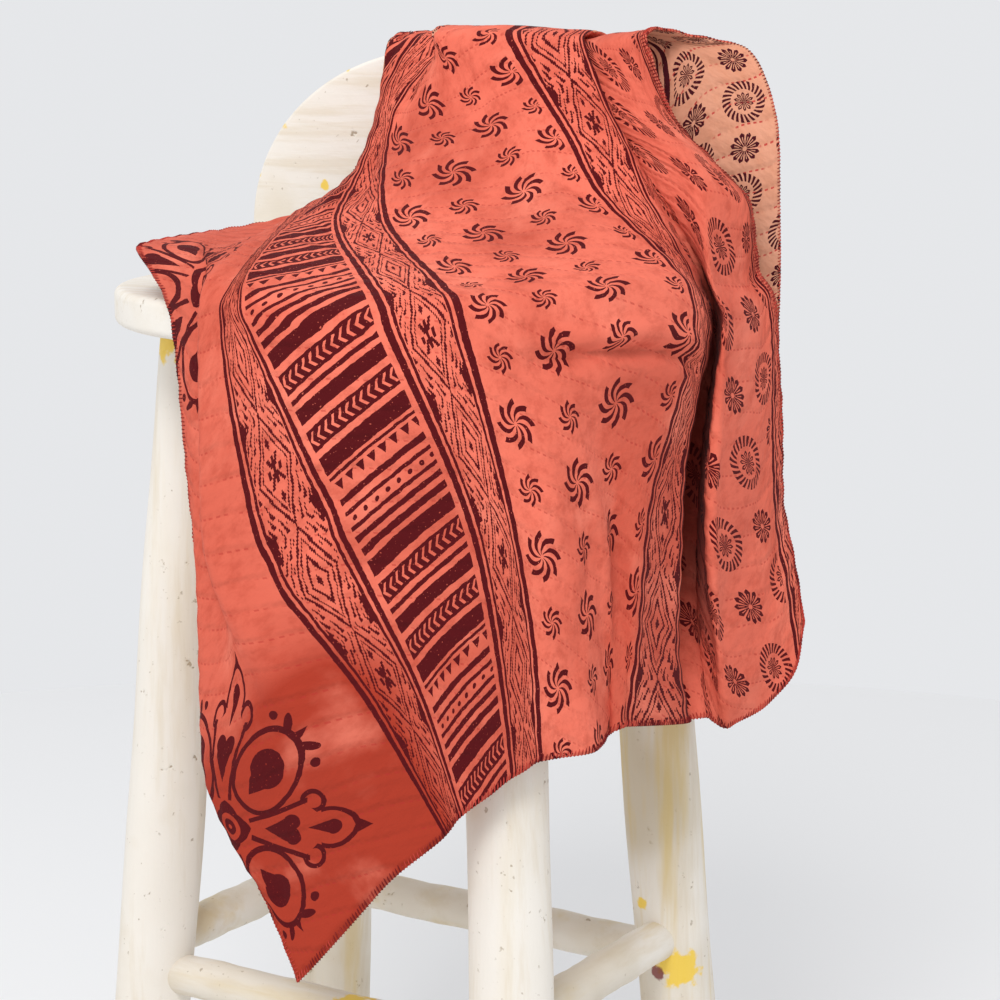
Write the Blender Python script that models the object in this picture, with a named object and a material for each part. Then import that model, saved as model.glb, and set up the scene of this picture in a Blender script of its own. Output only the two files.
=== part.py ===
"""Kantha quilt draped over a whitewashed high stool with a back board.

Metres, +Z up. The stool stands on z = 0. It is modelled about the seat's axis, with the seat's top at
SEAT_HEIGHT, and the whole is then moved so that the middle of its bounding box is over the origin.
The front of the stool faces -Y.
"""

from math import acos, cos, degrees, radians, sin, sqrt

import bmesh
import bpy
import numpy as np
from mathutils import Vector

MM = 0.001
GAP = 0.0003                 # between pieces that touch

# Stool
SEAT_HEIGHT = 0.690
SEAT_RADIUS = 0.192
SEAT_THICKNESS = 0.024
BOARD_WIDTH = 0.360
BOARD_TOP = 0.1515           # above the seat's top
BOARD_SHOULDER = 0.028       # where the straight sides end
BOARD_THICKNESS = 0.018
BOARD_Y = 0.072              # the board stands against the seat's rear edge, which is cut straight
LEG_RADIUS = 0.026
LEG_TOP = (0.112, 0.078)     # from the seat's axis, at the seat's top
LEG_SPLAY = (0.0667, 0.0579)  # sideways and fore-and-aft, per metre of drop
STRETCHER_RADIUS = 0.0135
FRONT_DROP = 0.463           # centre line below the seat's top, of the front and rear stretchers
SIDE_DROP = 0.446

# Quilt
CLOTH = 0.0013
CLOTH_STAND = 4.1            # mm, from the board's faces and top edge to the middle of the lowest layer
LOW = -130                   # mm, the height of the places named low
KNEE_SHARE = 0.57            # of the way down from low to the front hem, where the knee is
STEPS_ALONG = (3, 3, 2, 2, 2, 1, 1, 3, 3, 3, 4, 2, 3, 3, 3)
STEPS_ACROSS = 2

# Sections of the quilt from its left hem to its right hem, in mm and degrees. Heights are above the
# seat's top. Each section runs from the rear hem up the back of the board, over its top, down the slope
# before it, over the seat's rim and down to the front hem. Where x turns back from row to row, the
# cloth lies in pleats, the lower layers nearer the board.
# across: the section's place in the flat quilt. rear: x, how far a fold stands out, and height, at the
# rear hem. back: x where the folds are drawn in. shoulder: x, y, height close behind the board's top.
BEHIND = (
    # name           across  rear            back  shoulder
    ("left hem",          0, (-118, 2, 20),   -56, (-50, 86, 136)),
    ("left field",       30, (-108, 6, 0),    -32, (-28, 86.5, 136)),
    ("left valley",      70, (-98, 2, -30),    -6, (-4, 87, 136)),
    ("left fold",       110, (-90, 4, -55),    22, (20, 87.5, 136)),
    ("border 1 left",   145, (-80, 3, -80),    44, (40, 88.5, 137)),
    ("border 1 right",  195, (-64, 22, -110), -10, (-10, 90.5, 139)),
    ("ladder middle",   228, (-50, 44, -130), -62, (-58, 92.5, 141)),
    ("border 2 left",   262, (-32, 44, -150), -55, (-53, 94.5, 142)),
    ("under fold",      287, (-14, 22, -165), -34, (-32, 94.5, 142)),
    ("border 2 right",  312, (2, 10, -180),     8, (4, 95, 142)),
    ("whirl one",       372, (16, 34, -205),   -6, (-9, 98, 143)),
    ("whirl two",       425, (32, 58, -225),  -20, (-21, 101, 145)),
    ("border 3 left",   479, (62, 26, -240),   44, (38, 100, 144)),
    ("border 3 right",  529, (90, 42, -255),  104, (98, 97, 142)),
    ("right valley",    585, (110, 6, -265),   68, (64, 90, 136)),
    ("flap edge",       640, (132, 30, -270), 106, (100, 91.5, 138)),
    ("flap middle",     690, (160, 8, -270),  160, (140, 98, 146)),
    ("right hem",       745, (184, 22, -262), 214, (186, 107, 150)),
)
# top: x, height. fall, foot, slope: x, y, height on the way down to the rim.
BEFORE = (
    # name              top           fall            foot            slope
    ("left hem",       (-50, 155.6), (-62, 56, 104), (-86, 20, 42), (-126, -40, 31)),
    ("left field",     (-28, 155.6), (-42, 56, 104), (-80, 18, 46), (-104, -50, 33)),
    ("left valley",     (-5, 155.6), (-16, 55, 104), (-71, 15, 50), (-74, -44, 34)),
    ("left fold",       (18, 155.6),  (10, 54, 104), (-67, 11, 55), (-60, -44, 44)),
    ("border 1 left",   (40, 156.6),  (32, 53, 105), (-62, 8, 60),  (-55, -46, 47)),
    ("border 1 right", (-10, 157.8), (-18, 50, 108), (-57, 6, 64),  (-46, -46, 50)),
    ("ladder middle",  (-57, 158.8), (-58, 46, 112), (-52, 4, 67),  (-36, -48, 50)),
    ("border 2 left",  (-34, 160.2), (-54, 43, 115), (-46, 2, 68),  (-26, -50, 46)),
    ("under fold",     (-16, 160.2), (-48, 42, 111), (-32, 0, 64),  (-4, -52, 44)),
    ("border 2 right",   (2, 160.4), (-42, 40, 104), (-18, -5, 67), (16, -50, 42)),
    ("whirl one",      (-10, 162.4), (-18, 42, 116), (18, 6, 84),   (56, -36, 52)),
    ("whirl two",      (-22, 164.6),  (14, 44, 121), (56, 20, 90),  (92, -8, 58)),
    ("border 3 left",   (35, 163.4),  (66, 46, 122), (94, 36, 93),  (118, 26, 64)),
    ("border 3 right",  (95, 161),   (120, 46, 113), (138, 42, 86), (152, 38, 60)),
    ("right valley",    (62, 153),   (102, 52, 110), (138, 50, 80), (160, 46, 54)),
    ("flap edge",       (98, 156.5), (136, 50, 110), (168, 44, 84), (190, 38, 58)),
    ("flap middle",    (120, 160),   (152, 56, 108), (184, 58, 80), (203, 64, 52)),
    ("right hem",      (140, 162),   (160, 62, 104), (186, 70, 76), (206, 78, 50)),
)
# edge, turn: angle, radius, height just inside the seat's rim and just past it. low, knee: angle, radius.
# hem: angle, radius, height. Angles go about the seat's axis from the front (-Y) towards +X.
BELOW_RIM = (
    # name              edge            turn               low          knee         hem
    ("left hem",       (-31, 187, 29),  (-13.5, 197, -1),  (-7.5, 199), (-1, 195),   (14, 206, -404)),
    ("left field",     (-22, 166, 32),  (-5, 200, 8),      (-5.5, 203), (-5, 204),   (18, 207, -388)),
    ("left valley",    (-8, 182, 23),   (2, 200, -2),      (2.5, 202),  (1, 209),    (25, 207, -358)),
    ("left fold",      (-3, 196, 18),   (-2, 209, 0),      (-2, 211),   (13, 210),   (31, 207, -333)),
    ("border 1 left",   (2, 198, 14),   (1.6, 208, -2),    (7, 209),    (27, 208),   (39, 207, -310)),
    ("border 1 right",  (4, 197, 10),   (6.4, 207, -5),    (24, 207),   (36, 207),   (42, 206, -297)),
    ("ladder middle",  (15, 195, 7),    (17.3, 205, -8),   (34, 206),   (41, 207),   (46, 207, -287)),
    ("border 2 left",  (28, 194, 5),    (29.9, 204, -12),  (43.5, 206), (48, 206),   (50, 207, -277)),
    ("under fold",     (35, 194, 5),    (36.6, 204, -12),  (48, 206),   (51.5, 206), (53, 206, -272)),
    ("border 2 right", (41.7, 194, 5),  (42.8, 204, -12),  (51, 206),   (54.5, 206), (55.5, 206, -268)),
    ("whirl one",      (55, 194, 5),    (55.8, 204, -14),  (62, 207),   (64, 207),   (66, 208, -266)),
    ("whirl two",      (70, 195, 5),    (70, 205, -18),    (70.5, 198), (70.5, 196), (70.8, 197, -262)),
    ("border 3 left",  (92, 195, 5),    (90.2, 205, -22),  (77, 206),   (74.5, 206), (72.7, 206, -256)),
    ("border 3 right", (99, 195, 5),    (98.2, 204, -20),  (90.5, 198), (91, 198),   (94.5, 201, -270)),
    ("right valley",   (107, 194, 6),   (108, 200, -22),   (107, 191),  (103, 194),  (101, 203, -272)),
    ("flap edge",      (99, 204, 6),    (97.8, 214, -16),  (93, 214),   (97, 214),   (103.5, 213, -280)),
    ("flap middle",    (112, 213, 6),   (111.5, 223, -12), (108, 226),  (110, 231),  (112, 235, -271)),
    ("right hem",      (116, 224, 8),   (116.3, 234, -8),  (118, 242),  (117, 250),  (116, 256, -219)),
)


def start_clean():
    for item in list(bpy.data.objects):
        bpy.data.objects.remove(item, do_unlink=True)


def material(name, colour, roughness):
    made = bpy.data.materials.new(name)
    made.use_nodes = True
    shader = made.node_tree.nodes["Principled BSDF"]
    shader.inputs["Base Color"].default_value = (*colour, 1.0)
    shader.inputs["Roughness"].default_value = roughness
    shader.inputs["Metallic"].default_value = 0.0
    return made


def place(name, mesh, colour, roughness, parent, smooth_below=40):
    made = bpy.data.objects.new(name, mesh)
    bpy.context.scene.collection.objects.link(made)
    made.parent = parent
    mesh.materials.append(material(name + " finish", colour, roughness))
    mesh.shade_smooth()
    mesh.set_sharp_from_angle(angle=radians(smooth_below))
    return made


def mesh_from_rings(name, rings):
    """A closed body through rings of points of equal count, closed by a face at each end."""
    built = bmesh.new()
    rows = [[built.verts.new(point) for point in ring] for ring in rings]
    count = len(rows[0])
    for low, high in zip(rows, rows[1:]):
        for i in range(count):
            j = (i + 1) % count
            built.faces.new((low[i], low[j], high[j], high[i]))
    built.faces.new(rows[0][::-1])
    built.faces.new(rows[-1])
    bmesh.ops.recalc_face_normals(built, faces=built.faces)
    mesh = bpy.data.meshes.new(name)
    built.to_mesh(mesh)
    built.free()
    return mesh


# ---- Stool ----

WHITEWASH = (0.80, 0.77, 0.70)
WASH_ROUGHNESS = 0.62


def seat_outline(inset):
    """The seat's round outline with its straight rear edge, drawn in by inset."""
    radius = SEAT_RADIUS - inset
    rear = BOARD_Y - BOARD_THICKNESS / 2 - GAP
    corner = degrees(acos(-rear / radius))
    turns = [radians(corner * (step / 24 - 1)) for step in range(49)]
    return [(radius * sin(turn), -radius * cos(turn)) for turn in turns]


def make_seat(parent):
    rim = ((0.0055, -1.0), (0.0012, -0.80), (0.0, -0.5), (0.0014, -0.2), (0.0065, 0.0))
    rings = [[(x, y, SEAT_THICKNESS * level) for x, y in seat_outline(inset)] for inset, level in rim]
    return place("seat", mesh_from_rings("seat", rings), WHITEWASH, WASH_ROUGHNESS, parent)


def board_edge(x):
    """Height of the back board's outline above the seat, at x from its middle."""
    share = min(abs(x) / (BOARD_WIDTH / 2), 1.0)
    return BOARD_SHOULDER + (BOARD_TOP - BOARD_SHOULDER) * sqrt(1 - share ** 2.3)


def board_outline(inset):
    """The board seen from the front: straight sides under a domed top."""
    reach = BOARD_WIDTH / 2
    points = [(reach, -SEAT_THICKNESS), (-reach, -SEAT_THICKNESS)]
    for step in range(33):
        x = -reach * cos(radians(180 * step / 32))
        points.append((x, board_edge(x)))
    middle = (BOARD_TOP - SEAT_THICKNESS) / 2
    width, height = 1 - inset / reach, 1 - inset / (BOARD_TOP - middle)
    return [(x * width, middle + (z - middle) * height) for x, z in points]


def make_board(parent):
    half = BOARD_THICKNESS / 2
    edge = ((0.003, -1.0), (0.0, -0.6), (0.0, 0.6), (0.003, 1.0))
    rings = [[(x, BOARD_Y + half * side, z) for x, z in board_outline(inset)] for inset, side in edge]
    return place("back_board", mesh_from_rings("back_board", rings), WHITEWASH, WASH_ROUGHNESS, parent)


def leg_centre(side, end, drop):
    """A place on a leg's centre line. side and end are -1 or 1, drop is below the seat's top."""
    return Vector((side * (LEG_TOP[0] + LEG_SPLAY[0] * drop), end * (LEG_TOP[1] + LEG_SPLAY[1] * drop), -drop))


def leg_mesh(name, side, end, extra=0.0, over=0.0):
    """A round leg with level ends, a little fuller below its middle, as peeled poles are."""
    rings = []
    for share, fullness in ((0, 0.97), (0.25, 1.0), (0.5, 1.02), (0.75, 1.01), (1, 0.96)):
        top, foot = SEAT_THICKNESS + GAP - over, SEAT_HEIGHT + over
        centre = leg_centre(side, end, top + (foot - top) * share)
        radius = LEG_RADIUS * fullness + extra
        turns = [radians(15 * step) for step in range(24)]
        rings.append([centre + Vector((radius * cos(turn), radius * sin(turn), 0)) for turn in turns])
    return mesh_from_rings(name, rings)


LEGS = {"leg_front_left": (-1, -1), "leg_front_right": (1, -1), "leg_rear_left": (-1, 1), "leg_rear_right": (1, 1)}
STRETCHERS = {
    "stretcher_front": ("leg_front_left", "leg_front_right", FRONT_DROP),
    "stretcher_rear": ("leg_rear_left", "leg_rear_right", FRONT_DROP),
    "stretcher_left": ("leg_front_left", "leg_rear_left", SIDE_DROP),
    "stretcher_right": ("leg_front_right", "leg_rear_right", SIDE_DROP),
}


def make_stretcher(name, parent):
    """A thinner pole between two legs, its ends scribed to them."""
    first, last, drop = STRETCHERS[name]
    start, end = leg_centre(*LEGS[first], drop), leg_centre(*LEGS[last], drop)
    along = (end - start).normalized()
    sideways = along.cross(Vector((0, 0, 1))).normalized()
    upward = sideways.cross(along)
    rings = []
    for share, fullness in ((0, 1), (0.15, 1.0), (0.5, 1.04), (0.85, 1.0), (1, 1)):
        centre = start.lerp(end, share)
        turns = [radians(22.5 * step) for step in range(16)]
        radius = STRETCHER_RADIUS * fullness
        rings.append([centre + sideways * radius * cos(turn) + upward * radius * sin(turn) for turn in turns])
    pole = place(name, mesh_from_rings(name, rings), WHITEWASH, WASH_ROUGHNESS, parent)
    for leg in (first, last):
        cutter = bpy.data.objects.new(name + "_cut_" + leg, leg_mesh("cut", *LEGS[leg], extra=GAP, over=0.01))
        bpy.context.scene.collection.objects.link(cutter)
        cutter.parent = parent
        cutter.hide_render = True
        cutter.display_type = "WIRE"
        cut = pole.modifiers.new("scribe to " + leg, "BOOLEAN")
        cut.operation = "DIFFERENCE"
        cut.object = cutter
    return pole


# ---- Quilt ----


def on_axis(angle, radius, height):
    """A place in mm about the seat's axis."""
    return (radius * sin(radians(angle)), -radius * cos(radians(angle)), height)


def behind_legs(height):
    """How far back the cloth hangs at a height, in mm, to clear the board and the rear legs."""
    drop = -height * MM
    leg = (LEG_TOP[1] + LEG_SPLAY[1] * drop + LEG_RADIUS) / MM + CLOTH_STAND
    board = (BOARD_Y + BOARD_THICKNESS / 2) / MM + CLOTH_STAND + 6
    share = min(max((70 - height) / 80, 0.0), 1.0)
    return board + (leg - board) * share


def section_places(behind, before, below):
    """The places, in mm, that one section of the quilt passes through, from rear hem to front hem."""
    _, _, rear, back, shoulder = behind
    _, top, fall, foot, slope = before
    _, edge, turn, low, knee, hem = below
    middle = BOARD_Y / MM
    reach = BOARD_THICKNESS / 2 / MM + CLOTH_STAND
    layer = max(0, top[1] - BOARD_TOP / MM - CLOTH_STAND)
    places = []
    for share in (0, 0.3, 0.6, 0.85):
        height = rear[2] + share * (shoulder[2] - rear[2])
        stand = rear[1] * (1 - share) + share * (shoulder[1] - behind_legs(shoulder[2]))
        places.append((rear[0] + (back - rear[0]) * share, behind_legs(height) + stand, height))
    knee_height = LOW + KNEE_SHARE * (hem[2] - LOW)
    return places + [
        shoulder,
        (top[0] + 0.2 * (shoulder[0] - top[0]), middle + reach + layer, top[1] - 4),
        (top[0], middle, top[1]),
        (top[0] + 0.1 * (fall[0] - top[0]), middle - reach - layer, top[1] - 5),
        fall,
        foot,
        slope,
        on_axis(*edge),
        on_axis(*turn),
        on_axis(*low, LOW),
        on_axis(*knee, knee_height),
        on_axis(*hem),
    ]


def slopes(values, knots):
    """Slopes at the knots for a curve through values that doesn't swing past them."""
    rates = np.diff(values, axis=0) / np.diff(knots)[:, None]
    before, after = rates[:-1], rates[1:]
    agree = before * after > 0
    total = np.where(agree, before + after, 1.0)
    between = np.where(agree, 2 * before * after / total, 0.0)
    return np.concatenate([rates[:1], between, rates[-1:]])


def read_curve(values, knots, wanted):
    """Places on a smooth curve through values, at the wanted distances between the knots."""
    tangents = slopes(values, knots)
    at = np.clip(np.searchsorted(knots, wanted, side="right") - 1, 0, len(knots) - 2)
    width = (knots[at + 1] - knots[at])[:, None]
    t = (wanted - knots[at])[:, None] / width
    from_start = values[at] * (1 + 2 * t) * (1 - t) ** 2 + tangents[at] * width * t * (1 - t) ** 2
    to_end = values[at + 1] * t * t * (3 - 2 * t) - tangents[at + 1] * width * t * t * (1 - t)
    return from_start + to_end


def spread(knots, steps):
    """The knots with each gap between them divided into its number of steps."""
    parts = [np.linspace(a, b, n, endpoint=False) for a, b, n in zip(knots, knots[1:], steps)]
    return np.concatenate(parts + [knots[-1:]])


def cloth_grid():
    """Points on the middle of the cloth, in metres: [across][along][x, y, z]."""
    sections = []
    for rows in zip(BEHIND, BEFORE, BELOW_RIM):
        places = np.array(section_places(*rows), float)
        lengths = np.linalg.norm(np.diff(places, axis=0), axis=1)
        knots = np.concatenate([[0.0], np.cumsum(np.sqrt(lengths))])
        sections.append(read_curve(places, knots, spread(knots, STEPS_ALONG)))
    across = np.array([row[1] for row in BEHIND], float)
    wanted = spread(across, [STEPS_ACROSS] * (len(across) - 1))
    stations = np.array(sections).transpose(1, 0, 2)
    grid = np.array([read_curve(station, across, wanted) for station in stations])
    return grid.transpose(1, 0, 2) * MM


def make_quilt(parent):
    """One sheet of stitched cloth, its grid thickened evenly to both sides."""
    grid = cloth_grid()
    built = bmesh.new()
    rows = [[built.verts.new(point) for point in column] for column in grid]
    for left, right in zip(rows, rows[1:]):
        for i in range(len(left) - 1):
            built.faces.new((left[i], left[i + 1], right[i + 1], right[i]))
    mesh = bpy.data.meshes.new("quilt")
    built.to_mesh(mesh)
    built.free()
    quilt = place("quilt", mesh, (0.66, 0.13, 0.09), 0.85, parent, smooth_below=60)
    thicken = quilt.modifiers.new("cloth thickness", "SOLIDIFY")
    thicken.thickness = CLOTH
    thicken.offset = 0.0
    thicken.use_even_offset = False
    return quilt


def reach_of(objects):
    """Lowest and highest corners of the evaluated objects."""
    graph = bpy.context.evaluated_depsgraph_get()
    points = [Vector(corner) for item in objects for corner in item.evaluated_get(graph).bound_box]
    low = Vector([min(point[i] for point in points) for i in range(3)])
    high = Vector([max(point[i] for point in points) for i in range(3)])
    return low, high


start_clean()
stool = bpy.data.objects.new("stool_and_quilt", None)
bpy.context.scene.collection.objects.link(stool)
pieces = [make_seat(stool), make_board(stool), make_quilt(stool)]
for leg, (side, end) in LEGS.items():
    pieces.append(place(leg, leg_mesh(leg, side, end), WHITEWASH, WASH_ROUGHNESS, stool))
for stretcher in STRETCHERS:
    pieces.append(make_stretcher(stretcher, stool))
low, high = reach_of(pieces)
stool.location = (-(low.x + high.x) / 2, -(low.y + high.y) / 2, SEAT_HEIGHT)
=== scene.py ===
"""Kantha quilt draped over a whitewashed round-seat high stool with a back board.

Metres and +Z up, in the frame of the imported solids. The stool's front faces -Y. Sizes inside the
quilt's sections are in millimetres, measured from the seat's top and its axis.
"""

from functools import partialmethod
from math import acos, cos, pi, radians, sin, sqrt

import bmesh
import bpy
import numpy as np
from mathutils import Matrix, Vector


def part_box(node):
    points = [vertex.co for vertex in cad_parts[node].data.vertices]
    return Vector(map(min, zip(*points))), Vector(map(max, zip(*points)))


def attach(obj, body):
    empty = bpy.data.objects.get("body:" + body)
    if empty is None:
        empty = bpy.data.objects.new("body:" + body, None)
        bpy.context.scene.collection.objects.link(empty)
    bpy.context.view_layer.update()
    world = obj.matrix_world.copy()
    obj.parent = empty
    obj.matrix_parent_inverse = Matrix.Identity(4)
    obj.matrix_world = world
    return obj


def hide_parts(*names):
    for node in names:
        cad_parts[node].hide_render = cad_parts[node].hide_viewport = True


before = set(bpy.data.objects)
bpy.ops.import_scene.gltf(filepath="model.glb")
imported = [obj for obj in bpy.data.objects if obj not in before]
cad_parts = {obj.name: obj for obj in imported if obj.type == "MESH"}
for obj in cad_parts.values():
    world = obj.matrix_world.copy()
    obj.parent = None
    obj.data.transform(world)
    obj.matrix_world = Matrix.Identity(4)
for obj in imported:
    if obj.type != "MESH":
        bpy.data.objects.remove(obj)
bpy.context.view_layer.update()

# ---- Stool: legs, stretchers, round seat and back board ----
# Round poles, a round seat with a straight rear edge, and a domed board that stands against that edge.
# The legs meet the seat's underside and hold the stretchers' ends. All are softwood under a chalky white
# wash, with patches of older yellow and red paint. Each piece takes the place of its solid.

SEAT_RADIUS = 0.192
seat_low, seat_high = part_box("seat")
SEAT_AXIS = Vector(((seat_low[0] + seat_high[0]) / 2, seat_low[1] + SEAT_RADIUS, seat_high[2]))


def fill(node, inputs):
    """The node, with a field, a socket or a constant put into each input named."""
    for label, value in inputs.items():
        if isinstance(value, Field):
            value = value.socket
        if isinstance(value, bpy.types.NodeSocket):
            node.id_data.links.new(value, node.inputs[label])
        else:
            node.inputs[label].default_value = value
    return node


class Field:
    """A number that changes over a surface, worked out by the nodes of one shader tree."""

    def __init__(self, socket):
        self.socket = socket

    def math(self, operation, *others):
        node = self.socket.id_data.nodes.new("ShaderNodeMath")
        node.operation = operation
        return Field(fill(node, dict(enumerate((self, *others)))).outputs[0])

    __add__ = partialmethod(math, "ADD")
    __sub__ = partialmethod(math, "SUBTRACT")
    __mul__ = partialmethod(math, "MULTIPLY")
    __truediv__ = partialmethod(math, "DIVIDE")
    __or__ = partialmethod(math, "MAXIMUM")
    __and__ = partialmethod(math, "MINIMUM")
    __abs__ = partialmethod(math, "ABSOLUTE")
    below = partialmethod(math, "LESS_THAN")
    above = partialmethod(math, "GREATER_THAN")
    near = partialmethod(math, "COMPARE")  # 1 where the field is within the second number of the first

    def flipped(self):
        """1 less the field."""
        return (self * -1) + 1

    def ramp(self, low, high):
        """Rises smoothly from 0 at low to 1 at high."""
        node = self.socket.id_data.nodes.new("ShaderNodeMapRange")
        node.interpolation_type = "SMOOTHSTEP"
        return Field(fill(node, {"Value": self, "From Min": low, "From Max": high}).outputs["Result"])


class Group:
    """A shader node group with named inputs and outputs."""

    PLACES = ("Place", "Along grain", "Flat")

    def __init__(self, name, inputs, outputs):
        self.tree = bpy.data.node_groups.new(name, "ShaderNodeTree")
        for way, labels in (("INPUT", inputs), ("OUTPUT", outputs)):
            for label in labels:
                kind = "Vector" if label in self.PLACES else "Color" if label == "Colour" else "Float"
                self.tree.interface.new_socket(label, in_out=way, socket_type="NodeSocket" + kind)
        self.source = self.tree.nodes.new("NodeGroupInput")
        self.result = self.tree.nodes.new("NodeGroupOutput")

    def place(self, label):
        return self.source.outputs[label]

    def read(self, label):
        return Field(self.place(label))

    def give(self, label, value):
        fill(self.result, {label: value})


def noise(place, scale, detail=2.0, roughness=0.5):
    """Cloudy noise round 0.5 at a place."""
    node = place.id_data.nodes.new("ShaderNodeTexNoise")
    fill(node, {"Vector": place, "Scale": scale, "Detail": detail, "Roughness": roughness})
    return Field(node.outputs["Fac"])


def blend_colours(share, first, second):
    """first where share is 0 and second where it is 1. Each is a colour or a colour socket."""
    node = share.socket.id_data.nodes.new("ShaderNodeMix")
    node.data_type = "RGBA"
    first, second = ((*value, 1.0) if isinstance(value, tuple) else value for value in (first, second))
    return fill(node, {"Factor": share, "A": first, "B": second}).outputs["Result"]


def vector_math(operation, place, value):
    """The outputs of a Vector Math node that works on a place."""
    node = place.id_data.nodes.new("ShaderNodeVectorMath")
    node.operation = operation
    return fill(node, {0: place, 1: value}).outputs


def grouped(tree, group_tree, inputs):
    """The outputs of a shader group, run on the inputs."""
    node = tree.nodes.new("ShaderNodeGroup")
    node.node_tree = group_tree
    return fill(node, inputs).outputs


def new_material(name):
    """A new material, its tree and its Principled shader."""
    made = bpy.data.materials.new(name)
    made.use_nodes = True
    return made, made.node_tree, made.node_tree.nodes["Principled BSDF"]


def finish(shader, inputs, height, strength, distance):
    """Fills the shader's inputs and raises its surface by a height field."""
    fill(shader, inputs)
    bump = shader.id_data.nodes.new("ShaderNodeBump")
    fill(bump, {"Strength": strength, "Distance": distance, "Height": height})
    fill(shader, {"Normal": bump.outputs["Normal"]})


WASH = (0.82, 0.775, 0.705)
WASH_THIN = (0.68, 0.585, 0.44)
WASH_PIT = (0.30, 0.22, 0.14)
WASH_AGED = (0.52, 0.43, 0.29)
UNDER_YELLOW = (0.64, 0.46, 0.13)
OLD_YELLOW = (0.85, 0.57, 0.03)
OLD_RED = (0.20, 0.02, 0.02)


def build_wash():
    """Chalky wash: cloudy, streaked with the grain, with small pits and chips."""
    group = Group("white wash", ("Place", "Along grain"), ("Colour", "Roughness", "Height"))
    grain = noise(group.place("Along grain"), 1.0, detail=5.0, roughness=0.65)
    cloud = noise(group.place("Place"), 16.0, detail=3.0)
    fine = noise(group.place("Place"), 240.0)
    chips = noise(group.place("Place"), 62.0, detail=3.0, roughness=0.7)
    thin = (grain.ramp(0.46, 0.70) * 0.55) | (cloud.ramp(0.50, 0.75) * 0.5)
    pits = (fine.ramp(0.66, 0.74) & chips.ramp(0.50, 0.60)) * 0.7
    colour = blend_colours(thin, WASH, WASH_THIN)
    group.give("Colour", blend_colours(pits | (chips.ramp(0.70, 0.73) * 0.8), colour, WASH_PIT))
    group.give("Roughness", (thin * 0.2) + 0.58)
    group.give("Height", (grain * 0.6) + (fine * 0.25) - (chips.ramp(0.66, 0.72) * 0.5))
    return group.tree


WASH_GROUP = build_wash()


def place_on_stool(across, deep, high):
    """A place in metres from the seat's axis and top, in the frame's own coordinates."""
    return SEAT_AXIS + Vector((across, deep, high))


# Patches of older paint: piece, place from the seat's axis and top, radius in metres, and paint.
PAINT_PATCHES = (
    ("leg_front_left", (-0.123, -0.103, -0.033), 0.018, OLD_YELLOW),
    ("leg_rear_right", (0.159, 0.084, -0.464), 0.016, OLD_YELLOW),
    ("leg_rear_right", (0.144, 0.080, -0.470), 0.006, OLD_RED),
    ("leg_rear_right", (0.133, 0.080, -0.420), 0.006, OLD_YELLOW),
    ("stretcher_front", (0.03, -0.115, -0.455), 0.020, OLD_YELLOW),
    ("back_board", (-0.116, 0.063, 0.057), 0.0045, OLD_YELLOW),
    ("back_board", (-0.098, 0.066, 0.138), 0.006, OLD_YELLOW),
    ("back_board", (-0.151, 0.066, 0.097), 0.005, OLD_YELLOW),
    ("back_board", (-0.172, 0.066, 0.062), 0.004, OLD_YELLOW),
    ("seat", (0.05, -0.19, -0.02), 0.008, OLD_YELLOW),
)
# How fast the grain changes on each axis, and how much yellow shows through the wash.
WOODS = {
    "leg": ((55, 55, 5), 0.14),
    "leg_rear_right": ((60, 60, 5), 1.0),
    "leg_rear_left": ((60, 60, 5), 0.7),
    "stretcher": ((30, 30, 40), 0.55),
    "stretcher_right": ((55, 9, 55), 0.75),
    "stretcher_front": ((9, 55, 55), 0.5),
    "seat": ((7, 90, 60), 0.04),
    "back_board": ((7, 60, 90), 0.05),
}


def washed_wood(node_name):
    """The wash of one piece, aged along its grain, with its own patches of paint."""
    made, tree, shader = new_material("whitewashed " + node_name.replace("_", " "))
    coordinates = tree.nodes.new("ShaderNodeTexCoord").outputs["Object"]
    grain, under = WOODS[node_name if node_name in WOODS else node_name.split("_")[0]]
    streaks = vector_math("MULTIPLY", coordinates, grain)["Vector"]
    wash = grouped(tree, WASH_GROUP, {"Place": coordinates, "Along grain": streaks})
    beige = noise(coordinates, 9.0).ramp(0.30, 0.60)
    colour = blend_colours(beige * (under * 0.75), wash["Colour"], WASH_AGED)
    through = noise(streaks, 0.62, detail=4.0, roughness=0.6).ramp(0.50, 0.66)
    colour = blend_colours(through * (under * 0.65), colour, UNDER_YELLOW)
    for patched, centre, radius, paint in PAINT_PATCHES:
        if patched == node_name:
            away = Field(vector_math("DISTANCE", coordinates, place_on_stool(*centre))["Value"]) / radius
            ragged = away + (noise(coordinates, 130.0, detail=3.0) * 1.6) - 0.8
            colour = blend_colours(ragged.ramp(0.95, 0.65) * 0.9, colour, paint)
    inputs = {"Base Color": colour, "Roughness": wash["Roughness"]}
    finish(shader, inputs, wash["Height"], strength=0.5, distance=0.0012)
    return made


def skin(built, rings):
    """Faces between closed rings of vertices, and over both ends."""
    for low, high in zip(rings, rings[1:]):
        for i in range(len(low)):
            j = (i + 1) % len(low)
            built.faces.new((low[i], low[j], high[j], high[i]))
    built.faces.new(rings[0][::-1])
    built.faces.new(rings[-1])


def linked(name, data):
    """A new object of the scene with this data."""
    made = bpy.data.objects.new(name, data)
    bpy.context.scene.collection.objects.link(made)
    return made


def mesh_object(name, built, smooth=True):
    """A new object of the scene from a mesh just built."""
    mesh = bpy.data.meshes.new(name)
    built.to_mesh(mesh)
    built.free()
    if smooth:
        mesh.shade_smooth()
    return linked(name, mesh)


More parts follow.
